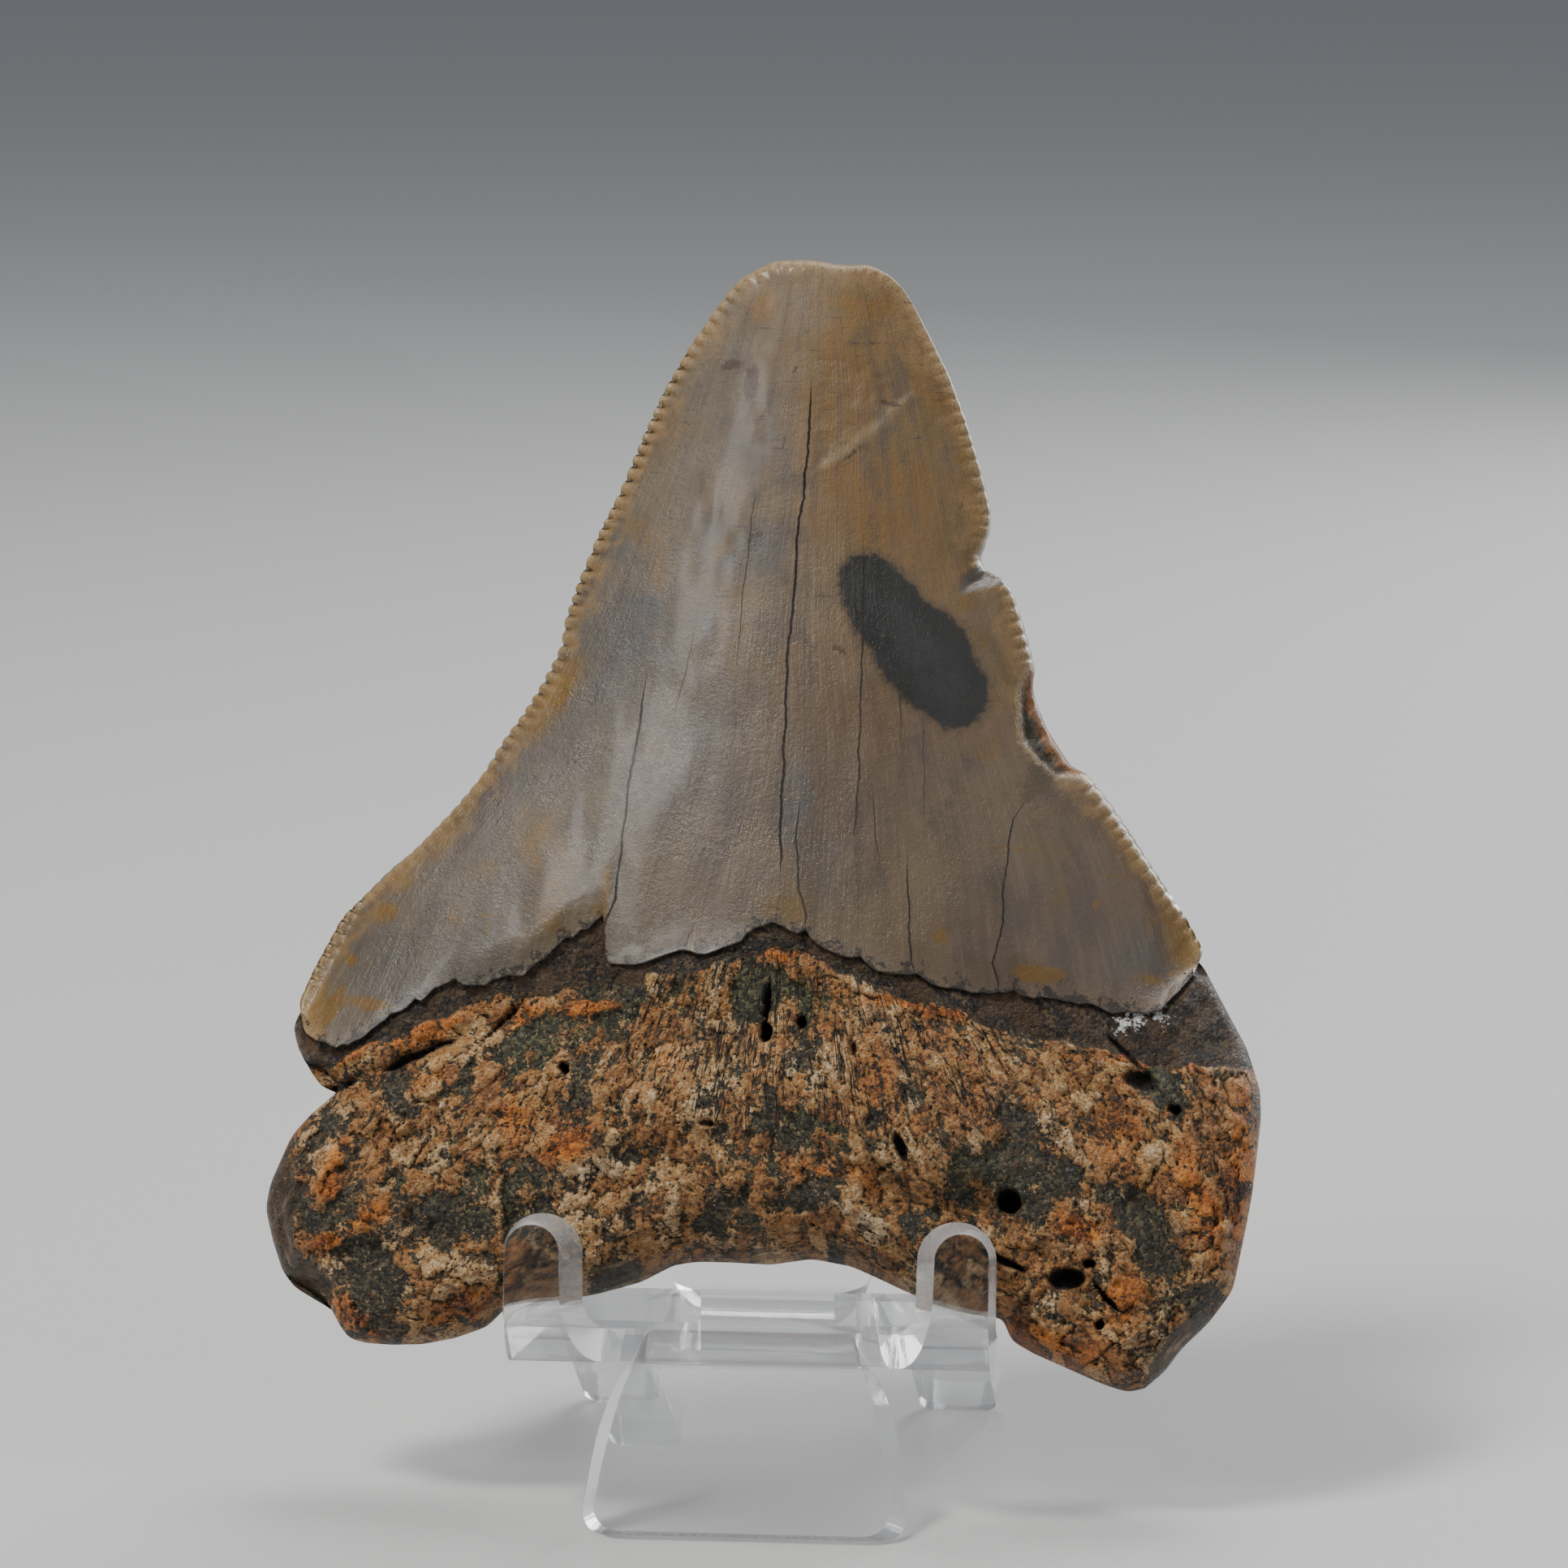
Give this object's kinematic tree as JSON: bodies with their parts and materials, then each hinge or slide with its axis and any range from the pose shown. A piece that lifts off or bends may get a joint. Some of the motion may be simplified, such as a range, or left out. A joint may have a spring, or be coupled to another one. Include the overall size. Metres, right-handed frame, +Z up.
{
  "type": "megalodon tooth on stand",
  "caption": "Fossil shark tooth with a flat serrated crown and a pitted two-lobed root, standing in a small clear bent-sheet easel.",
  "frame": {"origin": "on the table, under the middle of the whole object's box", "axes": "+Z up; -Y is the side the tooth's root face and the easel's two prongs look to; +X to the right seen from there"},
  "size_m": [0.0742, 0.0416, 0.0904],
  "materials": {
    "fossil_tooth": "satin",
    "clear_acrylic": "polished"
  },
  "bodies": {
    "root": {"megalodon_tooth": "fossil_tooth", "acrylic_stand": "clear_acrylic"}
  },
  "joints": []
}
